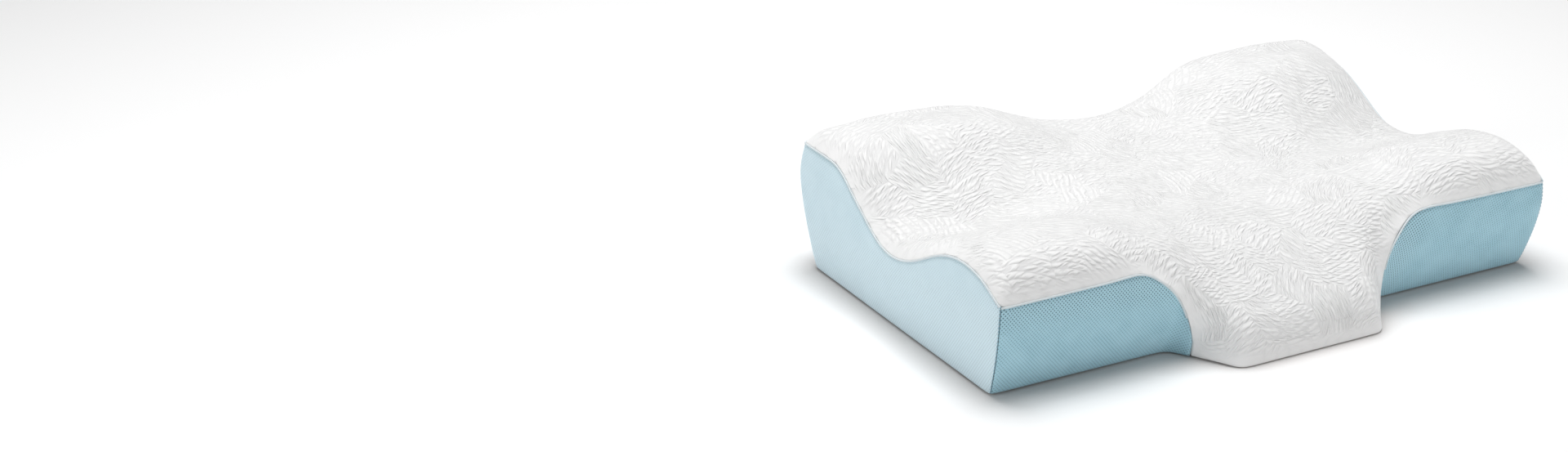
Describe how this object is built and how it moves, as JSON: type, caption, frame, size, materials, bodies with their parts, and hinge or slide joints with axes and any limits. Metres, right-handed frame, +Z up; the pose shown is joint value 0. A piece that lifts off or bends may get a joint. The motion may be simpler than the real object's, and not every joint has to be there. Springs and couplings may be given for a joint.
{
  "type": "cervical pillow",
  "caption": "Contoured neck-support pillow: raised lobes round a hollow for the head, a low tongue at the front, white knit top and blue mesh sides.",
  "frame": {"origin": "on the underside, in the middle of the pillow's length and depth", "axes": "+X along the length, -Y towards the tongue at the front, +Z up"},
  "size_m": [0.609, 0.395, 0.1449],
  "materials": {
    "knit": "thick white knit with a raised wavy rib",
    "side_mesh": "pale blue close-woven mesh",
    "front_mesh": "blue spacer mesh with small round holes"
  },
  "bodies": {
    "root": {"cushion": "knit", "side_band": "side_mesh", "front_panel_left": "front_mesh", "front_panel_right": "front_mesh"}
  },
  "joints": []
}
